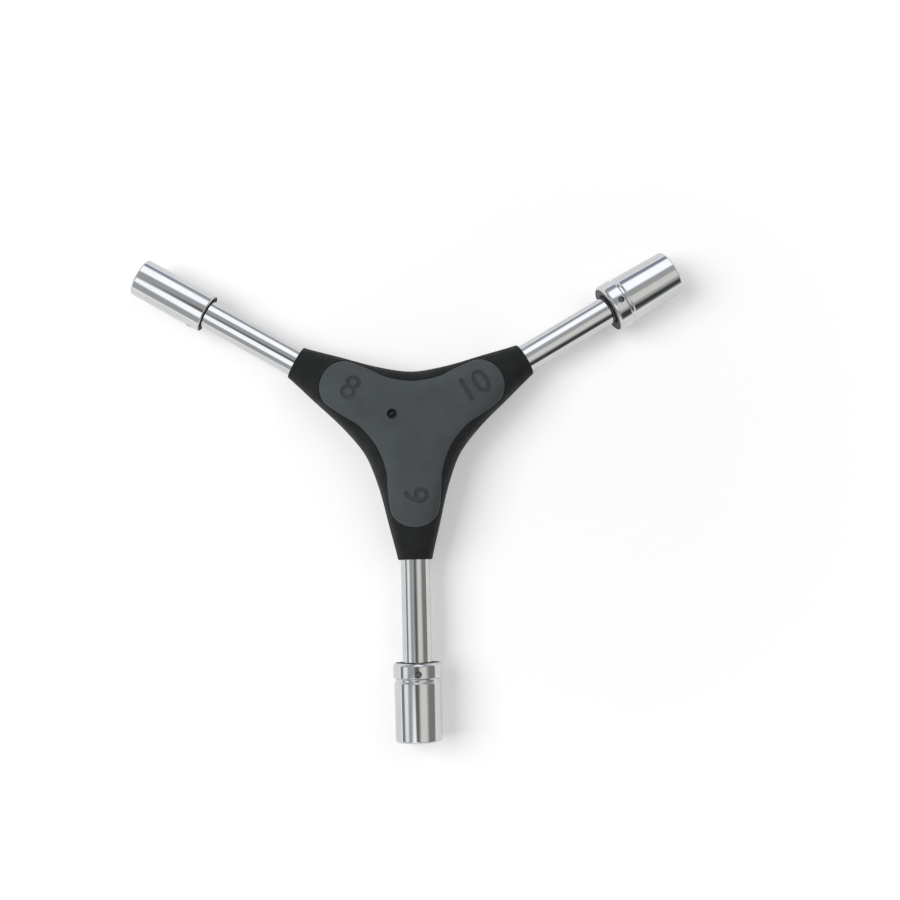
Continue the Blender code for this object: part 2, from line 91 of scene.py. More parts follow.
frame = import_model()
CAD_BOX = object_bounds()

MM = 0.001
DEGREE = math.pi / 180.0

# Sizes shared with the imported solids
AXIS_HEIGHT = 8.5 * MM
ARM_SPREAD = 120.0 * DEGREE
LOWER_ANGLE = -90.0 * DEGREE
SHAFT_RADIUS = 4.2 * MM
GRIP_REACH = 38.5 * MM
BARE_SHAFT = 29.2 * MM
SOCKET_LENGTH = 22.3 * MM
FIT_GAP = 0.3 * MM
HEX_PLAY = 0.1 * MM
HEX_SIDES = 6
CUT_OVERRUN = 5.0 * MM
COLLAR_LENGTH = 4.6 * MM
COLLAR_RISE = 0.25 * MM
SHOULDER_RADIUS = 1.0 * MM
PLAIN_SHOULDER_RADIUS = 0.4 * MM
GROOVE_WIDTH = 0.7 * MM
GROOVE_DEPTH = 0.35 * MM
MOUTH_CHAMFER = 0.45 * MM
HEX_DEPTH = 10.5 * MM
HEX_LEAD_IN = 0.35 * MM
SHAFT_POCKET_DEPTH = 8.0 * MM
POCKET_FLARE = 0.7 * MM
SOCKET_PIN_INSET = 3.0 * MM
SOCKET_PIN_RECESS = 0.35 * MM
SHAFT_CHAMFER = 0.6 * MM
HUB_BORE_START = 5.5 * MM
HUB_BOSS_RADIUS = 9.0 * MM
HUB_BOSS_HALF_HEIGHT = 6.6 * MM
HUB_REACH = 15.0 * MM
HUB_WALL = 1.4 * MM
HUB_PIN_RADIUS = 1.2 * MM
HUB_PIN_INSET = 3.2 * MM
GRIP_HALF_WIDTH = 12.0 * MM
GRIP_FRONT_RISE = 8.8 * MM
GRIP_REAR_DROP = 9.3 * MM
GRIP_END_RADIUS = 5.0 * MM
GRIP_CROTCH_REACH = 16.0 * MM
GRIP_ROOT_REACH = 8.0 * MM
HUB_SQUARE_SHARE = 0.92
FACE_REACH = 29.5 * MM
FACE_CROTCH_REACH = 12.4 * MM
FACE_TIP_STEPS = 6
LOCATOR_HOLE_RADIUS = 1.45 * MM
LOCATOR_HOLE_REACH = 6.7 * MM
LOCATOR_HOLE_ANGLE = 155.0 * DEGREE
LOCATOR_HOLE_DEPTH = 1.5 * MM
PIP_RADIUS = 0.5 * MM
PIP_RISE = 0.9 * MM
PIP_TOP_SHARE = 0.7
GRIP_SHARES = (
    # reach, width, thickness, squareness
    (0.34, 0.92, 1.00, 0.92),
    (0.52, 0.60, 0.97, 0.92),
    (0.71, 0.38, 0.70, 0.88),
    (0.87, 0.15, 0.26, 0.80),
)
END_SQUARE_SHARE = 0.707
FACE_SHARES = (
    # reach, width
    (0.44, 0.71),
    (0.61, 0.79),
    (0.79, 0.85),
)

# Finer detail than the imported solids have
EDGE_BEND = 0.16 * MM
EDGE_STEPS = 4
EDGE_SUPPORT = 0.05 * MM
EDGE_ROOM_SHARE = 0.4
SEAM = 0.06 * MM
SEAM_ROUND = 0.25 * MM
SEAM_TURNS = (
    # degrees round the rounded edge
    0.0, 18.0, 36.0, 54.0, 72.0,
)
SEAM_WAIST = (
    # up from the axis, step outward
    (-1.5 * MM, 0.0),
    (-1.1 * MM, 0.4 * MM),
    (1.1 * MM, 0.4 * MM),
    (1.5 * MM, 0.0),
)
MOULDED_GAP = 0.03 * MM
PIN_HOLE_RADIUS = 0.9 * MM
PIN_RADIUS = 0.82 * MM
PIN_DOME = 0.2 * MM
DOME_TURNS = (
    # degrees from the top of the dome
    0.0, 15.0, 30.0, 45.0, 60.0, 75.0, 90.0,
)
DRILL_SHARE = 0.96
DRILL_SINK = 0.3 * MM
DRILL_CONE = 1.6 * MM
# The back face's shallow recess, which carries the painted shade round the shaft
BACK_RECESS = 0.2 * MM
BACK_RECESS_SHARE = 0.7
GRIP_LIP = (
    # back from the end, in from the side
    (0.55 * MM, 0.0),
    (0.16 * MM, 0.03 * MM),
    (0.0, 0.16 * MM),
    (0.0, 0.40 * MM),
)
DIGIT_HEIGHT = 6.8 * MM
DIGIT_HEIGHT_SHARE = 0.69
DIGIT_BOLDER = 0.12 * MM
DIGIT_DEPTH = 0.3 * MM
DIGIT_REACH = 20.5 * MM
DIGIT_STRETCH = 0.35 * MM
DIGIT_SPLITS = 5
DIGIT_STEPS = 8

# Smoothness
TURNED_STEPS = 96
PIN_STEPS = 32
SHOULDER_STEPS = 10
OUTLINE_STEPS = 8
GRIP_LEVELS = 4
SHARP_EDGE = 32.0 * DEGREE
MERGE_DISTANCE = 0.001 * MM
MAX_CORNERS = 4

# What a cage point itself, and its two neighbours together, weigh in the smooth surface
OWN_WEIGHT = 4
NEIGHBOUR_WEIGHT = 2

# Camera, in the directions that the photograph gives
CAMERA_DISTANCE = 380.0 * MM
CAMERA_YAW = 2.3 * DEGREE
CAMERA_PITCH = 6.4 * DEGREE
CAMERA_ROLL = 1.4 * DEGREE
CAMERA_AIM = (10.8 * MM, -7.0 * MM)
CAMERA_LENS = 52.3
CAMERA_SENSOR = 36.0
CAMERA_CLIP = (10.0 * MM, 20.0)

# Tints, mottling and noise of the finishes
NO_TINT = (1.0, 1.0, 1.0)
CHROME_TINT = (0.98, 0.99, 1.0)
PLASTIC_TINT = (0.86, 0.99, 1.06)
RUBBER_TINT = (0.95, 1.03, 1.00)
DARKER = 0.9
PALER = 1.1
NOISE_DETAIL = 3.0
NOISE_SPREAD = (0.3, 0.7)
EVEN = (1.0, 1.0, 1.0)
LENGTHWISE = (1.0, 1.0, 0.04)
LONG_WAVES = (1.0, 1.0, 0.5)
TURNED_STREAKS = (0.3, 0.3, 1.0)
CUTTING_MARKS = (0.1, 0.1, 1.0)

# Worked out from the sizes above
SHAFT_BORE_RADIUS = SHAFT_RADIUS + FIT_GAP
SLEEVE_RADIUS = SHAFT_BORE_RADIUS + HUB_WALL
SOCKET_BACK = GRIP_REACH + BARE_SHAFT
AXIS = Vector((0.0, 0.0, AXIS_HEIGHT))
UP = Vector((0.0, 0.0, 1.0))
PICTURE_UP = Vector((0.0, 1.0, 0.0))


def polar(reach, angle):
    return Vector((reach * math.cos(angle), reach * math.sin(angle), 0.0))


@dataclass(frozen=True)
class Arm:
    """One of the three arms, with its number and which way that number reads along the arm."""

    name: str
    number: str
    angle: float
    hex_size: float
    wall: float
    taper: float
    has_collar: bool
    reads_outward: bool

    @property
    def direction(self):
        return polar(1.0, self.angle)

    @property
    def left_hand(self):
        return polar(1.0, self.angle + math.pi / 2)

    @property
    def hex_corner(self):
        return (self.hex_size + HEX_PLAY) / 2 / math.cos(math.pi / HEX_SIDES)

    @property
    def socket_radius(self):
        return max(self.hex_corner, SHAFT_BORE_RADIUS) + self.wall

    @property
    def back_radius(self):
        """Radius round the end where the shaft enters: the collar's, or the plain body's."""
        return self.socket_radius + (COLLAR_RISE if self.has_collar else 0.0)

    @property
    def shoulder_radius(self):
        return SHOULDER_RADIUS if self.has_collar else PLAIN_SHOULDER_RADIUS

    @property
    def pin_turn(self):
        """The socket's pin stands upright through a collar and lies across a plain body."""
        return 0.0 if self.has_collar else math.pi / 2


ARMS = (
    Arm("9mm", "9", LOWER_ANGLE, hex_size=9.0 * MM, wall=1.5 * MM, taper=0.12 * MM,
        has_collar=True, reads_outward=True),
    Arm("10mm", "10", LOWER_ANGLE + ARM_SPREAD, hex_size=10.0 * MM, wall=1.35 * MM, taper=0.4 * MM,
        has_collar=True, reads_outward=True),
    Arm("8mm", "8", LOWER_ANGLE + 2 * ARM_SPREAD, hex_size=8.0 * MM, wall=1.05 * MM, taper=0.12 * MM,
        has_collar=False, reads_outward=False),
)


def link(node_tree, start, end):
    node_tree.links.new(start, end)


def grey(level, tint=NO_TINT):
    return tuple(level * part for part in tint) + (1.0,)


class Finish:
    """A procedural material: a Principled shader whose colour, roughness and bump come from noise.

    Each of these also takes the settings of its noise: how many waves it has a metre, how it is
    stretched, and its detail.
    """

    def __init__(self, name, metallic=0.0, specular=0.5, tint=NO_TINT):
        self.material = bpy.data.materials.new(name)
        self.material.use_nodes = True
        self.tree = self.material.node_tree
        self.shader = self.tree.nodes["Principled BSDF"]
        self.shader.inputs["Metallic"].default_value = metallic
        self.shader.inputs["Specular IOR Level"].default_value = specular
        self.place = self.tree.nodes.new("ShaderNodeTexCoord").outputs["Object"]
        self.tint = tint

    def noise(self, waves, stretch=EVEN, detail=NOISE_DETAIL):
        """Noise that is drawn out along an axis where its stretch is small."""
        mapping = self.tree.nodes.new("ShaderNodeMapping")
        mapping.inputs["Scale"].default_value = stretch
        link(self.tree, self.place, mapping.inputs["Vector"])
        noise = self.tree.nodes.new("ShaderNodeTexNoise")
        noise.inputs["Scale"].default_value = waves
        noise.inputs["Detail"].default_value = detail
        link(self.tree, mapping.outputs["Vector"], noise.inputs["Vector"])
        return noise.outputs["Fac"]

    def ramp(self, value, low, high):
        """Runs from one colour to another over the middle of the noise's range."""
        ramp = self.tree.nodes.new("ShaderNodeValToRGB")
        for element, place, colour in zip(ramp.color_ramp.elements, NOISE_SPREAD, (low, high)):
            element.position = place
            element.color = colour
        link(self.tree, value, ramp.inputs["Fac"])
        return ramp.outputs["Color"]

    def colour(self, dark, light, **noise):
        ramp = self.ramp(self.noise(**noise), grey(dark, self.tint), grey(light, self.tint))
        link(self.tree, ramp, self.shader.inputs["Base Color"])

    def roughness(self, low, high, **noise):
        ramp = self.ramp(self.noise(**noise), grey(low), grey(high))
        link(self.tree, ramp, self.shader.inputs["Roughness"])

    def bump(self, height, strength, **noise):
        """Adds a bump of this height in metres to those already there."""
        bump = self.tree.nodes.new("ShaderNodeBump")
        bump.inputs["Distance"].default_value = height
        bump.inputs["Strength"].default_value = strength
        link(self.tree, self.noise(**noise), bump.inputs["Height"])
        there = self.shader.inputs["Normal"].links
        if there:
            link(self.tree, there[0].from_socket, bump.inputs["Normal"])
        link(self.tree, bump.outputs["Normal"], self.shader.inputs["Normal"])


def chrome_finish():
    """Bright plating over drawn steel: faint lengthwise marks and a slight, long waviness."""
    finish = Finish("polished_chrome", metallic=1.0, tint=CHROME_TINT)
    finish.colour(dark=0.57, light=0.63, waves=90.0)
    finish.roughness(low=0.05, high=0.12, waves=700.0, stretch=LENGTHWISE)
    finish.bump(height=0.05 * MM, strength=0.35, waves=110.0, stretch=LONG_WAVES, detail=1.0)
    finish.bump(height=0.004 * MM, strength=0.5, waves=2600.0, stretch=LENGTHWISE)
    return finish.material


def plastic_finish():
    """Satin moulded plastic with a fine even grain and faint mottling."""
    finish = Finish("grey_moulded_plastic", specular=0.30, tint=PLASTIC_TINT)
    finish.colour(dark=0.060, light=0.072, waves=160.0)
    finish.roughness(low=0.46, high=0.58, waves=500.0)
    finish.bump(height=0.02 * MM, strength=0.4, waves=2600.0)
    return finish.material


def shaded_recess_finish(name, level):
    """The floor and sides of a sunk detail: the same plastic, darkened with painted shade."""
    finish = Finish(name, specular=0.2, tint=PLASTIC_TINT)
    finish.colour(dark=level * DARKER, light=level * PALER, waves=300.0)
    finish.roughness(low=0.6, high=0.75, waves=500.0)
    finish.bump(height=0.03 * MM, strength=0.5, waves=3800.0, detail=4.0)
    return finish.material


def rubber_finish():
    """Black soft-touch rubber, matt, with a slightly coarser grain."""
    finish = Finish("black_soft_rubber", specular=0.20, tint=RUBBER_TINT)
    finish.colour(dark=0.012, light=0.017, waves=140.0)
    finish.roughness(low=0.60, high=0.74, waves=420.0)
    finish.bump(height=0.03 * MM, strength=0.45, waves=2000.0)
    return finish.material


def steel_finish(name, level):
    """Plain turned steel with cutting marks round it."""
    finish = Finish(name, metallic=1.0)
    finish.colour(dark=level * DARKER, light=level * PALER, waves=260.0)
    finish.roughness(low=0.30, high=0.46, waves=900.0, stretch=TURNED_STREAKS)
    finish.bump(height=0.01 * MM, strength=0.6, waves=3000.0, stretch=CUTTING_MARKS)
    return finish.material


def add_object(name, mesh, matrix=None):
    thing = bpy.data.objects.new(name, mesh)
    bpy.context.scene.collection.objects.link(thing)
    if matrix is not None:
        thing.matrix_world = matrix
    return thing


def object_from(shape, name, matrix=None):
    """A new object whose mesh is the bmesh shape, which is used up."""
    mesh = bpy.data.meshes.new(name)
    shape.to_mesh(mesh)
    shape.free()
    return add_object(name, mesh, matrix)


@contextmanager
def edited(mesh):
    """The mesh as a bmesh shape, which is written back when the block ends."""
    shape = bmesh.new()
    shape.from_mesh(mesh)
    yield shape
    shape.to_mesh(mesh)
    shape.free()


def evaluated_mesh(thing):
    """A new mesh of the object as it stands with its modifiers."""
    bpy.context.view_layer.update()
    return bpy.data.meshes.new_from_object(thing.evaluated_get(bpy.context.evaluated_depsgraph_get()))


def apply_modifiers(thing):
    """Joins points that come out on top of each other too, so that the mesh stays closed."""
    mesh = evaluated_mesh(thing)
    thing.modifiers.clear()
    with edited(mesh) as shape:
        bmesh.ops.remove_doubles(shape, verts=shape.verts, dist=MERGE_DISTANCE)
    thing.data = mesh


def split_many_sided(mesh):
    """Splits faces of more than four corners into triangles, so that none folds over a neighbour."""
    with edited(mesh) as shape:
        many_sided = [face for face in shape.faces if len(face.verts) > MAX_CORNERS]
        bmesh.ops.triangulate(shape, faces=many_sided)


def settle(thing):
    """Applies the object's modifiers and marks its sharp edges."""
    apply_modifiers(thing)
    split_many_sided(thing.data)
    thing.data.shade_smooth()
    thing.data.set_sharp_from_angle(angle=SHARP_EDGE)
    return thing


def boolean(thing, operation, cutter):
    """Where the cutter has a finish of its own, the faces that it leaves take it."""
    modifier = thing.modifiers.new(operation.lower(), "BOOLEAN")
    modifier.operation = operation
    modifier.solver = "EXACT"
    modifier.object = cutter
    if cutter.data.materials:
        modifier.material_mode = "TRANSFER"
    apply_modifiers(thing)


def cut(thing, cutters):
    """Takes the cutters out of the object one by one, then settles it and drops them."""
    for cutter in cutters:
        boolean(thing, "DIFFERENCE", cutter)
    settle(thing)
    for cutter in cutters:
        bpy.data.objects.remove(cutter, do_unlink=True)


def put_on(thing, node):
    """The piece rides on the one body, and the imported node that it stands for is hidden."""
    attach(thing, "root")
    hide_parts(node)


def arm_matrix(arm, reach):
    """A frame on the arm's axis: local Z points outward and local X points up."""
    turn = Matrix((UP, arm.direction.cross(UP), arm.direction)).transposed().to_4x4()
    return Matrix.Translation(arm.direction * reach + AXIS) @ turn


def softened(profile):
    """The profile with each corner rounded, and with a support point beyond each round."""
    points = [profile[0]]
    for before, here, after in zip(profile, profile[1:], profile[2:]):
        before, here, after = Vector(before), Vector(here), Vector(after)
        back = before - here
        ahead = after - here
        bend = min(EDGE_BEND, back.length * EDGE_ROOM_SHARE, ahead.length * EDGE_ROOM_SHARE)
        start = here + back.normalized() * bend
        end = here + ahead.normalized() * bend
        support = bend + EDGE_SUPPORT
        if back.length > 2 * support:
            points.append(tuple(here + back.normalized() * support))
        for step in range(EDGE_STEPS + 1):
            t = step / EDGE_STEPS
            points.append(tuple(start * (1 - t) ** 2 + here * 2 * t * (1 - t) + end * t * t))
        if ahead.length > 2 * support:
            points.append(tuple(here + ahead.normalized() * support))
    return points + [profile[-1]]


def turned(name, profile, steps, matrix):
    """A turned shape: the profile runs from its top on the axis, down its outer side, to its end."""
    mesh = bpy.data.meshes.new(name)
    points = [(radius, 0.0, height) for radius, height in profile]
    edges = [(i, i + 1) for i in range(len(points) - 1)]
    mesh.from_pydata(points, edges, [])
    thing = add_object(name, mesh, matrix)
    screw = thing.modifiers.new("turn", "SCREW")
    screw.axis = "Z"
    screw.angle = 2 * math.pi
    screw.steps = steps
    screw.render_steps = steps
    screw.use_merge_vertices = True
    screw.merge_threshold = MERGE_DISTANCE
    return thing


def bar(name, radius, start, end, matrix, sides=TURNED_STEPS, first_corner=0.0):
    """A closed round or many-sided bar along local Z, used as a cutter."""
    shape = bmesh.new()
    middle = Matrix.Translation((0.0, 0.0, (start + end) / 2)) @ Matrix.Rotation(first_corner, 4, "Z")
    bmesh.ops.create_cone(
        shape, cap_ends=True, cap_tris=False, segments=sides, radius1=radius,
        radius2=radius, depth=end - start, matrix=middle)
    return object_from(shape, name, matrix)


def quarter_round(radius, height, bend, steps):
    points = []
    for i in range(steps + 1):
        turn = math.pi / 2 * i / steps
        points.append((radius - bend + bend * math.cos(turn), height + bend - bend * math.sin(turn)))
    return points


def groove_profile(arm):
    """The groove between a socket's body and its collar."""
    floor = arm.socket_radius - GROOVE_DEPTH
    top = COLLAR_LENGTH + GROOVE_WIDTH
    return [
        (arm.socket_radius, top + GROOVE_DEPTH), (floor, top), (floor, COLLAR_LENGTH),
        (arm.back_radius, COLLAR_LENGTH - GROOVE_DEPTH)]


def socket_profile(arm):
    """Outer side of a socket: chamfered mouth, tapered body, any groove, and round shoulder."""
    mouth = arm.socket_radius - arm.taper
    points = [
        (0.0, SOCKET_LENGTH), (mouth - MOUTH_CHAMFER, SOCKET_LENGTH),
        (mouth, SOCKET_LENGTH - MOUTH_CHAMFER)]
    if arm.has_collar:
        points += groove_profile(arm)
    shoulder = quarter_round(arm.back_radius, 0.0, arm.shoulder_radius, SHOULDER_STEPS)
    return softened(points + [shoulder[0]])[:-1] + shoulder + [(0.0, 0.0)]


def shaft_pocket(arm, matrix, finish):
    """The shaft's flared bore, and the shallow recess in the back face round it, near-black with painted
    shade.
    """
    depth = SHAFT_POCKET_DEPTH + FIT_GAP
    recess = arm.back_radius - arm.shoulder_radius * BACK_RECESS_SHARE
    profile = [
        (0.0, depth), (SHAFT_BORE_RADIUS, depth), (SHAFT_BORE_RADIUS, POCKET_FLARE),
        (SHAFT_BORE_RADIUS + POCKET_FLARE - BACK_RECESS, BACK_RECESS), (recess, BACK_RECESS),
        (recess, -CUT_OVERRUN), (0.0, -CUT_OVERRUN)]
    pocket = turned("pocket_cut", profile, TURNED_STEPS, matrix)
    pocket.data.materials.append(finish)
    return pocket


def socket_cutters(arm, matrix, bare_steel, shade_painted_steel):
    """The hexagon with its lead-in and drilled bottom, the shaft's pocket and the pin's hole."""
    high = SOCKET_LENGTH + CUT_OVERRUN
    bottom = SOCKET_LENGTH - HEX_DEPTH
    hexagon = bar("hex_cut", arm.hex_corner, bottom, high, matrix, HEX_SIDES, math.pi / HEX_SIDES)
    widest = arm.hex_corner + HEX_LEAD_IN
    lead_in = turned("lead_cut", [
        (0.0, high), (widest, high), (arm.hex_corner, SOCKET_LENGTH),
        (0.0, SOCKET_LENGTH - arm.hex_corner)], TURNED_STEPS, matrix)
    drilled = arm.hex_size / 2 * DRILL_SHARE
    drill = turned("drill_cut", [
        (0.0, bottom + CUT_OVERRUN), (drilled, bottom + CUT_OVERRUN), (drilled, bottom - DRILL_SINK),
        (0.0, bottom - DRILL_CONE)], TURNED_STEPS, matrix)
    for inside in (hexagon, drill):
        inside.data.materials.append(bare_steel)
    return [hexagon, lead_in, drill, shaft_pocket(arm, matrix, shade_painted_steel), socket_pin_hole(arm)]


def socket_pin_frame(arm):
    """A frame whose local Z runs along the pin that holds a socket."""
    place = arm.direction * (SOCKET_BACK + SOCKET_PIN_INSET) + AXIS
    return Matrix.Translation(place) @ Matrix.Rotation(arm.pin_turn, 4, arm.direction)


def socket_pin_hole(arm):
    half = arm.socket_radius + CUT_OVERRUN
    return bar("pin_cut", PIN_HOLE_RADIUS, -half, half, socket_pin_frame(arm), PIN_STEPS)


def hub_pin_hole(arm):
    place = arm.direction * (HUB_REACH - HUB_PIN_INSET) + AXIS
    half = SLEEVE_RADIUS + CUT_OVERRUN
    return bar("hub_pin_cut", HUB_PIN_RADIUS + FIT_GAP, -half, half, Matrix.Translation(place), PIN_STEPS)


def make_socket(arm, chrome, bare_steel, shade_painted_steel):
    matrix = arm_matrix(arm, SOCKET_BACK)
    socket = turned(f"chrome_socket_{arm.name}", socket_profile(arm), TURNED_STEPS, matrix)
    socket.data.materials.append(chrome)
    cut(socket, socket_cutters(arm, matrix, bare_steel, shade_painted_steel))
    put_on(socket, f"socket_{arm.name}")


def make_shaft(arm, chrome):
    start = HUB_BORE_START + FIT_GAP
    length = SOCKET_BACK + SHAFT_POCKET_DEPTH - start
    profile = [
        (0.0, length), (SHAFT_RADIUS - SHAFT_CHAMFER, length), (SHAFT_RADIUS, length - SHAFT_CHAMFER),
        (SHAFT_RADIUS, SHAFT_CHAMFER), (SHAFT_RADIUS - SHAFT_CHAMFER, 0.0), (0.0, 0.0)]
    shaft = turned(f"chrome_shaft_{arm.name}", softened(profile), TURNED_STEPS, arm_matrix(arm, start))
    cut(shaft, [socket_pin_hole(arm), hub_pin_hole(arm)])
    shaft.data.materials.append(chrome)
    put_on(shaft, f"shaft_{arm.name}")


def make_pin(arm, steel):
    """The dowel that holds a socket, with domed ends sunk a little below the socket's side."""
    half = arm.back_radius - SOCKET_PIN_RECESS
    dome = [
        (PIN_RADIUS * math.sin(turn * DEGREE), half - PIN_DOME + PIN_DOME * math.cos(turn * DEGREE))
        for turn in DOME_TURNS]
    profile = dome + [(radius, -height) for radius, height in reversed(dome)]
    pin = turned(f"dowel_pin_{arm.name}", profile, PIN_STEPS, socket_pin_frame(arm))
    settle(pin)
    pin.data.materials.append(steel)
    put_on(pin, f"socket_pin_{arm.name}")


def swell(size, square):
    """The cage stands outside the smooth surface that it makes, more so where it is rounder."""
    return size * (OWN_WEIGHT + NEIGHBOUR_WEIGHT) / (OWN_WEIGHT + NEIGHBOUR_WEIGHT * square)


def grip_sizes(width, thick):
    """Half-width, front rise and rear drop, from the end's radius at share 0 to the whole at 1."""
    return (
        GRIP_END_RADIUS + width * (GRIP_HALF_WIDTH - GRIP_END_RADIUS),
        GRIP_END_RADIUS + thick * (GRIP_FRONT_RISE - GRIP_END_RADIUS),
        GRIP_END_RADIUS + thick * (GRIP_REAR_DROP - GRIP_END_RADIUS))


def grip_half_width(reach):
    """Half the grip's width at a reach, on the straight line between the stations on its two sides."""
    shares = GRIP_SHARES + ((1.0, 0.0, 0.0, END_SQUARE_SHARE),)
    stations = [(share * GRIP_REACH, grip_sizes(width, thick)[0]) for share, width, thick, _ in shares]
    for (near, near_width), (far, far_width) in zip(stations, stations[1:]):
        if reach <= far:
            break
    return near_width + (far_width - near_width) * (reach - near) / (far - near)


def edge_column(shape, place, inward, square, front, rear):
    """Three cage points at the grip's edge: front shoulder, middle and rear shoulder."""
    return [
        shape.verts.new(place + inward + AXIS + UP * square * front),
        shape.verts.new(place + AXIS),
        shape.verts.new(place + inward + AXIS - UP * square * rear)]


def middle_pair(shape, place, front, rear):
    return shape.verts.new(place + AXIS + UP * front), shape.verts.new(place + AXIS - UP * rear)


def station_ring(shape, arm, reach, sizes, square):
    """Eight cage points round an arm, from the front over its right-hand side."""
    width, front, rear = (swell(size, square) for size in sizes)
    place = arm.direction * reach
    edge = arm.left_hand * width
    left = edge_column(shape, place + edge, edge * (square - 1), square, front, rear)
    right = edge_column(shape, place - edge, edge * (1 - square), square, front, rear)
    top, foot = middle_pair(shape, place, front, rear)
    return [top, *right, foot, *reversed(left)]


def bridge(shape, ring, following):
    for i in range(len(ring)):
        j = (i + 1) % len(ring)
        shape.faces.new((ring[i], ring[j], following[j], following[i]))


def arm_rings(shape, arm):
    """The cage's rings along one arm, the last few of them round the lip at its end."""
    for reach, width, thick, square in GRIP_SHARES:
        yield station_ring(shape, arm, reach * GRIP_REACH, grip_sizes(width, thick), square)
    for back, inward in GRIP_LIP:
        radius = GRIP_END_RADIUS - inward
        yield station_ring(shape, arm, GRIP_REACH - back, (radius, radius, radius), END_SQUARE_SHARE)


# Places of the front and of the rear in a middle pair and in an edge column
GRIP_FACES = ((0, 0), (1, 2))


def grip_cage():
    """The coarse cage of the grip's smooth surface."""
    shape = bmesh.new()
    front = swell(GRIP_FRONT_RISE, HUB_SQUARE_SHARE)
    rear = swell(GRIP_REAR_DROP, HUB_SQUARE_SHARE)
    hub = middle_pair(shape, Vector(), front, rear)
    roots = [middle_pair(shape, arm.direction * GRIP_ROOT_REACH, front, rear) for arm in ARMS]
    crotches = []
    for arm in ARMS:
        place = polar(GRIP_CROTCH_REACH, arm.angle + ARM_SPREAD / 2)
        inward = polar(GRIP_HALF_WIDTH, arm.angle + ARM_SPREAD / 2) * (HUB_SQUARE_SHARE - 1)
        crotches.append(edge_column(shape, place, inward, HUB_SQUARE_SHARE, front, rear))
    for index, arm in enumerate(ARMS):
        after = (index + 1) % len(ARMS)
        for side, shoulder in GRIP_FACES:
            shape.faces.new(
                (hub[side], roots[index][side], crotches[index][shoulder], roots[after][side]))
        top, foot = roots[index]
        ring = [top, *crotches[index - 1], foot, *reversed(crotches[index])]
        for following in arm_rings(shape, arm):
            bridge(shape, ring, following)
            ring = following
        shape.faces.new(ring)
    bmesh.ops.recalc_face_normals(shape, faces=shape.faces)
    return shape


def grip_form(name):
    """The whole grip as one smooth solid, before anything is cut from it."""
    thing = object_from(grip_cage(), name)
    surface = thing.modifiers.new("smooth", "SUBSURF")
    surface.levels = GRIP_LEVELS
    surface.render_levels = GRIP_LEVELS
    return settle(thing)


class Surface:
    """Heights of the grip's front and rear over a point of the plane, none below the rest plane."""

    def __init__(self, form):
        self.tree = BVHTree.FromObject(form, bpy.context.evaluated_depsgraph_get())

    def front(self, place):
        hit = self.tree.ray_cast(Vector((place.x, place.y, GRIP_REACH)), -UP)[0]
        return hit.z if hit else AXIS_HEIGHT

    def rear(self, place):
        hit = self.tree.ray_cast(Vector((place.x, place.y, -GRIP_REACH)), UP)[0]
        return max(hit.z, 0.0) if hit else 0.0


def lobe_points(arm):
    """The grey face's outline round one lobe, from its right-hand side over the tip to its left."""
    side = []
    for reach_share, width_share in FACE_SHARES:
        reach = reach_share * FACE_REACH
        side.append((reach, width_share * grip_half_width(reach)))
    root, half_width = side.pop()
    tip = []
    for i in range(FACE_TIP_STEPS + 1):
        turn = math.pi * i / FACE_TIP_STEPS - math.pi / 2
        tip.append((root + (FACE_REACH - root) * math.cos(turn), half_width * math.sin(turn)))
    flat = [(reach, -width) for reach, width in side] + tip + side[::-1]
    return [arm.direction * reach + arm.left_hand * across for reach, across in flat]


def face_outline():
    points = []
    for arm in ARMS:
        points += lobe_points(arm)
        points.append(polar(FACE_CROTCH_REACH, arm.angle + ARM_SPREAD / 2))
    return smooth_loop(points, OUTLINE_STEPS)


def smooth_loop(points, steps):
    """A closed smooth curve through the points, with this many stretches between neighbours."""
    count = len(points)
    loop = []
    for i in range(count):
        before, here, after, beyond = (points[(i + k - 1) % count] for k in range(4))
        for step in range(steps):
            t = step / steps
            loop.append(
                here + (after - before) * (t / 2)
                + (before * 2 - here * 5 + after * 4 - beyond) * (t * t / 2)
                + (here * 3 - before - after * 3 + beyond) * (t ** 3 / 2))
    return loop


def grown(loop, distance):
    """The loop moved outward by a distance; the loop runs counter-clockwise."""
    moved = []
    for i, here in enumerate(loop):
        along = loop[(i + 1) % len(loop)] - loop[i - 1]
        moved.append(here + Vector((along.y, -along.x, 0.0)).normalized() * distance)
    return moved


def lofted(name, rings):
    """A closed solid through rings of points, from the lowest ring to the highest."""
    shape = bmesh.new()
    columns = [[shape.verts.new(place) for place in ring] for ring in rings]
    for low, high in zip(columns, columns[1:]):
        bridge(shape, low, high)
    shape.faces.new(reversed(columns[0]))
    shape.faces.new(columns[-1])
    bmesh.ops.recalc_face_normals(shape, faces=shape.faces)
    return object_from(shape, name)


def at_heights(loop, heights):
    return [Vector((place.x, place.y, height)) for place, height in zip(loop, heights)]


def waist(outline, seam):
    """Rings of a rib round the core's middle, so that nothing shows through the seam."""
    rings = []
    for height, step in SEAM_WAIST:
        loop = grown(outline, seam + step)
        rings.append(at_heights(loop, [AXIS_HEIGHT + height] * len(loop)))
    return rings


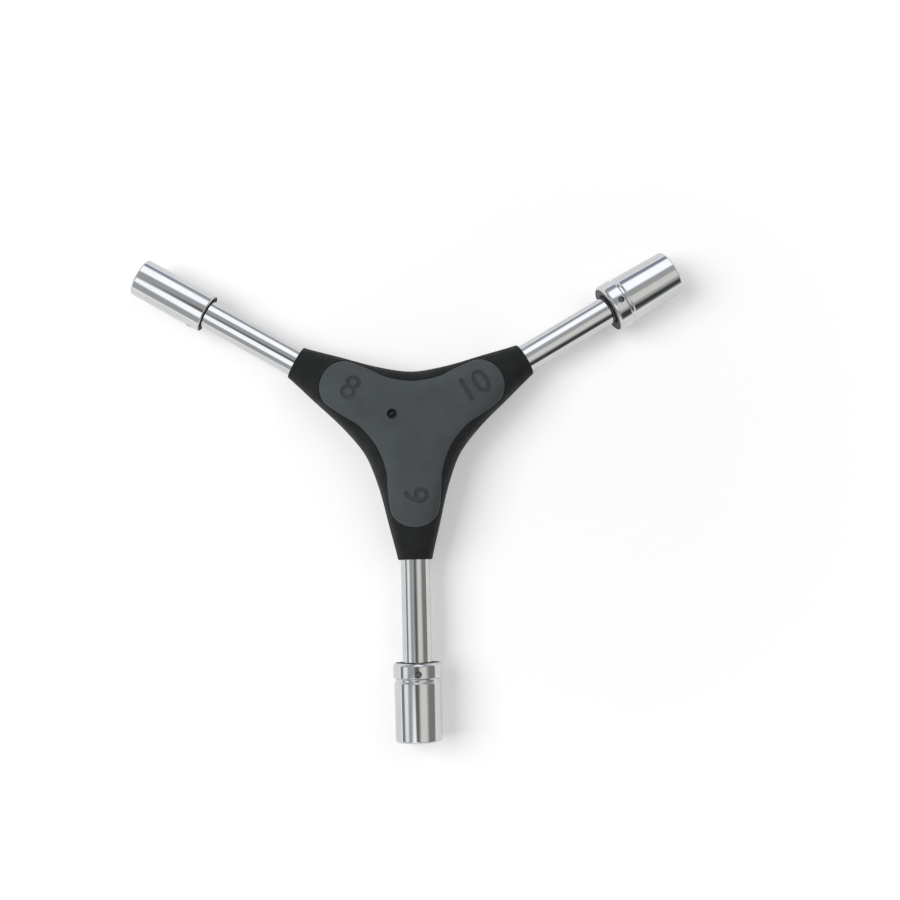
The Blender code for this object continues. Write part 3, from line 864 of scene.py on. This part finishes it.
def seam_solid(name, outline, surface, seam, side):
    """The outline through the whole grip, with its sides rounded over where they meet the surface.

    Side is -1 for the core, whose edges lean inward, and 1 for its window, whose edges lean out.
    """
    far = grown(outline, seam + side * SEAM_ROUND)
    low = -CUT_OVERRUN
    high = AXIS_HEIGHT + GRIP_FRONT_RISE + CUT_OVERRUN
    rear = [at_heights(far, [low] * len(far))]
    rear.append(at_heights(far, [surface.rear(place) - SEAM_ROUND for place in far]))
    front = [at_heights(far, [high] * len(far))]
    front.append(at_heights(far, [surface.front(place) + SEAM_ROUND for place in far]))
    for turn in reversed(SEAM_TURNS):
        offset = SEAM_ROUND * (1 - math.cos(turn * DEGREE))
        depth = SEAM_ROUND * (1 - math.sin(turn * DEGREE))
        loop = grown(outline, seam + side * offset)
        rear.append(at_heights(loop, [surface.rear(place) + depth for place in loop]))
        front.append(at_heights(loop, [surface.front(place) - depth for place in loop]))
    return lofted(name, rear + waist(outline, seam) + front[::-1])


def square_corners(reach):
    return [Vector((x * reach, y * reach, 0.0)) for x, y in ((-1, -1), (1, -1), (1, 1), (-1, 1))]


def ground_cutter():
    """Everything below the rest plane."""
    corners = square_corners(GRIP_REACH + CUT_OVERRUN)
    deep = GRIP_REAR_DROP + CUT_OVERRUN
    return lofted("ground_cut", [[corner - UP * deep for corner in corners], corners])


def hub_room():
    """Room for the hub: round its boss and round each sleeve."""
    height = HUB_BOSS_HALF_HEIGHT + FIT_GAP
    rooms = [bar("boss_cut", HUB_BOSS_RADIUS + FIT_GAP, -height, height, Matrix.Translation(AXIS))]
    for arm in ARMS:
        rooms.append(bar(
            "sleeve_cut", SLEEVE_RADIUS + FIT_GAP, 0.0, HUB_REACH + FIT_GAP, arm_matrix(arm, 0.0)))
    return rooms


def shaft_holes():
    far = GRIP_REACH + CUT_OVERRUN
    return [
        bar("shaft_cut", SHAFT_RADIUS + MOULDED_GAP, 0.0, far, arm_matrix(arm, 0.0)) for arm in ARMS]


def locator_hole(finish):
    """The round mark of the mould's locating pin, with a small pip left on its floor."""
    place = polar(LOCATOR_HOLE_REACH, LOCATOR_HOLE_ANGLE) + AXIS
    high = GRIP_FRONT_RISE + CUT_OVERRUN
    floor = GRIP_FRONT_RISE - LOCATOR_HOLE_DEPTH
    profile = [
        (0.0, high), (LOCATOR_HOLE_RADIUS, high), (LOCATOR_HOLE_RADIUS, floor), (PIP_RADIUS, floor),
        (PIP_RADIUS * PIP_TOP_SHARE, floor + PIP_RISE), (0.0, floor + PIP_RISE)]
    hole = turned("locator_cut", profile, PIN_STEPS, Matrix.Translation(place))
    hole.data.materials.append(finish)
    return hole


def number_outline(arm):
    """The arm's number as a flat mesh in the plane, on the arm's axis and read along it."""
    curve = bpy.data.curves.new("number", "FONT")
    curve.body = arm.number
    curve.size = DIGIT_HEIGHT / DIGIT_HEIGHT_SHARE
    curve.align_x = "CENTER"
    curve.align_y = "CENTER"
    curve.resolution_u = DIGIT_STEPS
    curve.offset = DIGIT_BOLDER
    text = add_object("number", curve)
    mesh = evaluated_mesh(text)
    bpy.data.objects.remove(text, do_unlink=True)
    along = arm.direction if arm.reads_outward else -arm.direction
    turn = Matrix((along, UP.cross(along), UP)).transposed().to_4x4()
    mesh.transform(Matrix.Translation(arm.direction * DIGIT_REACH) @ turn)
    return mesh


def split_long_edges(shape):
    """Adds points along the outline, so that the number's floor can follow the crowned face."""
    for _ in range(DIGIT_SPLITS):
        long_edges = [edge for edge in shape.edges if edge.calc_length() > 2 * DIGIT_STRETCH]
        if not long_edges:
            break
        bmesh.ops.subdivide_edges(shape, edges=long_edges, cuts=1)
        bmesh.ops.triangulate(shape, faces=shape.faces)


def number_cutter(arm, surface, finish):
    """The number as a solid whose floor lies a little below the grip's surface."""
    mesh = number_outline(arm)
    with edited(mesh) as shape:
        bmesh.ops.remove_doubles(shape, verts=shape.verts, dist=MERGE_DISTANCE)
        split_long_edges(shape)
        floor = list(shape.verts)
        raised = bmesh.ops.extrude_face_region(shape, geom=list(shape.faces))
        tops = [item for item in raised["geom"] if isinstance(item, bmesh.types.BMVert)]
        for point in tops:
            point.co.z = surface.front(point.co) + DIGIT_DEPTH
        for point in floor:
            point.co.z = surface.front(point.co) - DIGIT_DEPTH
        bmesh.ops.recalc_face_normals(shape, faces=shape.faces)
    mesh.materials.clear()
    mesh.materials.append(finish)
    return add_object("number_cut", mesh)


def make_core(form, outline, surface, plastic):
    """The grey core, which shows on both faces of the grip."""
    core = seam_solid("grey_core", outline, surface, 0.0, -1)
    core.data.materials.append(plastic)
    boolean(core, "INTERSECT", form)
    # The locator hole is darker still: painted shade in the deep hole
    hole = locator_hole(shaded_recess_finish("grey_hole_painted_shade", level=0.035))
    # The numbers' floors and sides are darker plastic: painted shade in the sunk digits
    recess = shaded_recess_finish("grey_recess_painted_shade", level=0.055)
    numbers = [number_cutter(arm, surface, recess) for arm in ARMS]
    cut(core, [ground_cutter(), *hub_room(), *shaft_holes(), hole, *numbers])
    put_on(core, "grip_core")


def make_skin(form, outline, surface, rubber):
    """The black skin: the grip's form with a window for the core and a hole for each shaft."""
    window = seam_solid("window_cut", outline, surface, SEAM, 1)
    skin = add_object("black_skin", form.data.copy())
    skin.data.materials.append(rubber)
    cut(skin, [window, ground_cutter(), *shaft_holes()])
    put_on(skin, "grip_skin")


def make_grip():
    form = grip_form("grip_form")
    surface = Surface(form)
    outline = face_outline()
    make_core(form, outline, surface, plastic_finish())
    make_skin(form, outline, surface, rubber_finish())
    bpy.data.objects.remove(form, do_unlink=True)


def dress_hidden_nodes():
    """The hub and its pins stay as packed, with the finish of turned steel."""
    finishes = {"hub_core": steel_finish("turned_hub_steel", level=0.42)}
    pin_finish = steel_finish("turned_pin_steel", level=0.30)
    for arm in ARMS:
        finishes[f"hub_pin_{arm.name}"] = pin_finish
    for node, finish in finishes.items():
        frame["nodes"][node].data.materials.clear()
        frame["nodes"][node].data.materials.append(finish)


@dataclass(frozen=True)
class Panel:
    """A round card or soft box painted on the canopy. Its tilt is the angle from straight up."""

    heading: float
    tilt: float
    half_size: float
    softness: float
    colour: tuple


PANELS = (
    # angles in degrees; a later panel lies over those before it
    Panel(90.0, 98.0, 22.0, 8.0, (0.31, 0.35, 0.49)),
    Panel(88.0, 50.0, 18.0, 7.0, (1.59, 1.62, 1.69)),
    Panel(-128.0, 33.0, 16.0, 6.0, (1.56, 1.58, 1.61)),
    Panel(-25.0, 27.0, 14.0, 8.0, (0.94, 0.92, 0.87)),
    Panel(-4.0, 68.0, 17.0, 9.0, (0.29, 0.29, 0.26)),
    Panel(-44.0, 66.0, 11.0, 8.0, (0.065, 0.07, 0.065)),
    Panel(-176.0, 62.0, 9.0, 6.0, (1.17, 1.22, 1.27)),
    Panel(-176.0, 90.0, 13.0, 8.0, (0.29, 0.30, 0.32)),
    Panel(-150.0, 8.0, 7.0, 6.0, (0.17, 0.16, 0.14)),
)
# How far a panel's softness reaches inside its edge, for 1 outside it
PANEL_INNER_SHARE = 0.5

CANOPY_GREY = (0.50, 0.51, 0.52, 1.0)
CANOPY_RADIUS = 2.5
CANOPY_STEPS = 48
CANOPY_RIM = (
    # angles from straight up at which it starts and ends to fade out
    82.0 * DEGREE, 88.0 * DEGREE,
)
WORLD_LEVEL = 0.28
WHITE = (1.0, 1.0, 1.0, 1.0)
FLOOR_GREY = 0.78
FLOOR_MOTTLE = 0.01
FLOOR_REACH = 4.0

# The floor's glow, near the wrench and far from it, and the reaches between which it rises
FLOOR_GLOW = (0.29, 0.75)
FLOOR_GLOW_RISE = (0.05, 0.50)

LAMPS = (
    # name, place, size, power, colour
    ("soft_key", (-1.0, 0.12, 1.2), 1.0, 18.9, (1.0, 1.0, 1.0)),
    ("soft_fill", (0.8, 0.4, 1.6), 1.2, 4.9, (1.0, 0.99, 0.97)),
)

# A colour mix's sockets, whose names are also those of other sockets
MIX_LOW = 6
MIX_HIGH = 7
MIX_RESULT = 2


def combined(tree, operation, first, second):
    node = tree.nodes.new("ShaderNodeMath")
    node.operation = operation
    link(tree, first, node.inputs[0])
    link(tree, second, node.inputs[1])
    return node.outputs["Value"]


def vector_node(tree, operation, value):
    node = tree.nodes.new("ShaderNodeVectorMath")
    node.operation = operation
    link(tree, value, node.inputs[0])
    return node


def colour_mix(tree, share, high):
    """A mix that gives its low colour where the share is 0, and the high one where it is 1."""
    mix = tree.nodes.new("ShaderNodeMix")
    mix.data_type = "RGBA"
    link(tree, share, mix.inputs["Factor"])
    mix.inputs[MIX_HIGH].default_value = high
    return mix


def rays_that_show(tree):
    """1 for the rays that show the background: the camera's, and those that metal or glass sends."""
    rays = tree.nodes.new("ShaderNodeLightPath").outputs
    seen = combined(tree, "MAXIMUM", rays["Is Camera Ray"], rays["Is Glossy Ray"])
    return combined(tree, "MAXIMUM", seen, rays["Is Transmission Ray"])


def soft_step(tree, value, start, end, low=0.0, high=1.0):
    """Goes softly from low to high while the value goes from start to end."""
    step = tree.nodes.new("ShaderNodeMapRange")
    step.interpolation_type = "SMOOTHSTEP"
    step.inputs["From Min"].default_value = start
    step.inputs["From Max"].default_value = end
    step.inputs["To Min"].default_value = low
    step.inputs["To Max"].default_value = high
    link(tree, value, step.inputs["Value"])
    return step.outputs["Result"]


def panel_share(tree, direction, panel):
    """1 inside a panel and 0 outside it, with a soft edge between."""
    middle = polar(math.sin(panel.tilt * DEGREE), panel.heading * DEGREE)
    middle += UP * math.cos(panel.tilt * DEGREE)
    facing = vector_node(tree, "DOT_PRODUCT", direction)
    facing.inputs[1].default_value = middle
    outer = math.cos((panel.half_size + panel.softness) * DEGREE)
    inner = math.cos((panel.half_size - panel.softness * PANEL_INNER_SHARE) * DEGREE)
    return soft_step(tree, facing.outputs["Value"], outer, inner)


def painted_panels(tree):
    """The canopy's colour in each direction, and how far it covers the white background there."""
    place = tree.nodes.new("ShaderNodeTexCoord").outputs["Object"]
    direction = vector_node(tree, "NORMALIZE", place).outputs["Vector"]
    split = tree.nodes.new("ShaderNodeSeparateXYZ")
    link(tree, direction, split.inputs["Vector"])
    full, clear = (math.cos(angle) for angle in CANOPY_RIM)
    cover = soft_step(tree, split.outputs["Z"], clear, full)
    base = tree.nodes.new("ShaderNodeRGB")
    base.outputs["Color"].default_value = CANOPY_GREY
    colour = base.outputs["Color"]
    for panel in PANELS:
        share = panel_share(tree, direction, panel)
        mix = colour_mix(tree, share, panel.colour + (1.0,))
        link(tree, colour, mix.inputs[MIX_LOW])
        colour = mix.outputs[MIX_RESULT]
        cover = combined(tree, "MAXIMUM", cover, share)
    return colour, cover


def canopy_finish():
    """A grey canopy with the panels painted on it, open where the white background shows."""
    material = bpy.data.materials.new("studio_canopy")
    material.use_nodes = True
    material.cycles.emission_sampling = "NONE"
    tree = material.node_tree
    tree.nodes.remove(tree.nodes["Principled BSDF"])
    colour, cover = painted_panels(tree)
    glow = tree.nodes.new("ShaderNodeEmission")
    link(tree, colour, glow.inputs["Color"])
    clear = tree.nodes.new("ShaderNodeBsdfTransparent")
    blend = tree.nodes.new("ShaderNodeMixShader")
    link(tree, cover, blend.inputs["Fac"])
    link(tree, clear.outputs["BSDF"], blend.inputs[1])
    link(tree, glow.outputs["Emission"], blend.inputs[2])
    link(tree, blend.outputs["Shader"], tree.nodes["Material Output"].inputs["Surface"])
    return material


def make_canopy():
    """A half-dome of studio cards over the wrench, which only its shiny surfaces show."""
    profile = []
    for step in range(CANOPY_STEPS + 1):
        turn = math.pi / 2 * step / CANOPY_STEPS
        profile.append((CANOPY_RADIUS * math.sin(turn), CANOPY_RADIUS * math.cos(turn)))
    canopy = turned("canopy", profile, TURNED_STEPS, Matrix.Translation(AXIS))
    settle(canopy)
    canopy.data.materials.append(canopy_finish())
    canopy.visible_camera = False
    canopy.visible_diffuse = False
    canopy.visible_shadow = False
    canopy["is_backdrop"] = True


def make_world():
    """A white background, and a plain even light on what isn't shiny."""
    world = bpy.data.worlds.new("studio")
    bpy.context.scene.world = world
    world.use_nodes = True
    tree = world.node_tree
    mix = colour_mix(tree, rays_that_show(tree), WHITE)
    mix.inputs[MIX_LOW].default_value = grey(WORLD_LEVEL)
    link(tree, mix.outputs[MIX_RESULT], tree.nodes["Background"].inputs["Color"])


def add_lamp(name, place, size, power, colour):
    """A square soft box that looks at the grip and shows in no reflection."""
    lamp = bpy.data.lights.new(name, "AREA")
    lamp.size = size
    lamp.energy = power
    lamp.color = colour
    thing = add_object(name, lamp)
    thing.location = place
    thing.rotation_euler = (AXIS - Vector(place)).to_track_quat("-Z", "Y").to_euler()
    thing.visible_glossy = False


def make_lamps():
    for lamp in LAMPS:
        add_lamp(*lamp)


def floor_finish():
    """Pale and matt. It glows a little for the rays that show it, more where the lamps fade out."""
    finish = Finish("pale_floor", specular=0.0)
    finish.colour(dark=FLOOR_GREY - FLOOR_MOTTLE, light=FLOOR_GREY + FLOOR_MOTTLE, waves=3.0)
    finish.roughness(low=0.85, high=0.95, waves=20.0)
    tree = finish.tree
    reach = vector_node(tree, "LENGTH", finish.place).outputs["Value"]
    glow = soft_step(tree, reach, *FLOOR_GLOW_RISE, *FLOOR_GLOW)
    shown = combined(tree, "MULTIPLY", rays_that_show(tree), glow)
    finish.shader.inputs["Emission Color"].default_value = WHITE
    link(tree, shown, finish.shader.inputs["Emission Strength"])
    return finish.material


def make_floor():
    """A plain floor that reads white where no shadow falls."""
    mesh = bpy.data.meshes.new("floor")
    mesh.from_pydata(square_corners(FLOOR_REACH), [], [(0, 1, 2, 3)])
    floor = add_object("floor", mesh)
    mesh.materials.append(floor_finish())
    floor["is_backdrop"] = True


def make_camera():
    """Looks down on the wrench, a little from the side of its lower arm and from its left."""
    lens = bpy.data.cameras.new("camera")
    lens.lens = CAMERA_LENS
    lens.sensor_width = CAMERA_SENSOR
    lens.clip_start, lens.clip_end = CAMERA_CLIP
    camera = add_object("camera", lens)
    out = Vector((
        -math.sin(CAMERA_YAW) * math.cos(CAMERA_PITCH), -math.sin(CAMERA_PITCH),
        math.cos(CAMERA_YAW) * math.cos(CAMERA_PITCH)))
    camera.location = AXIS + out * CAMERA_DISTANCE
    aim = AXIS + Vector((*CAMERA_AIM, 0.0))
    back = (camera.location - aim).normalized()
    right = PICTURE_UP.cross(back).normalized()
    level = Matrix((right, back.cross(right), back)).transposed()
    spin = Matrix.Rotation(-CAMERA_ROLL, 3, "Z")
    camera.rotation_euler = (level @ spin).to_euler()
    bpy.context.scene.camera = camera


def write_sizes():
    boxes = {"cad": CAD_BOX, "visual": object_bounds()}
    {name: [list(corner) for corner in box] for name, box in boxes.items()}


chrome = chrome_finish()
pin_steel = steel_finish("dark_pin_steel", level=0.16)
bare_steel = steel_finish("bare_socket_steel", level=0.20)
# Near-black steel for the shaft's pocket and the socket's back face: painted shade where the shaft enters
shade_painted_steel = steel_finish("painted_shade_steel", level=0.05)
for arm in ARMS:
    make_socket(arm, chrome, bare_steel, shade_painted_steel)
    make_shaft(arm, chrome)
    make_pin(arm, pin_steel)
make_grip()
dress_hidden_nodes()
make_floor()
make_canopy()
make_world()
make_lamps()
make_camera()
bpy.context.scene.view_settings.view_transform = "Standard"
write_sizes()
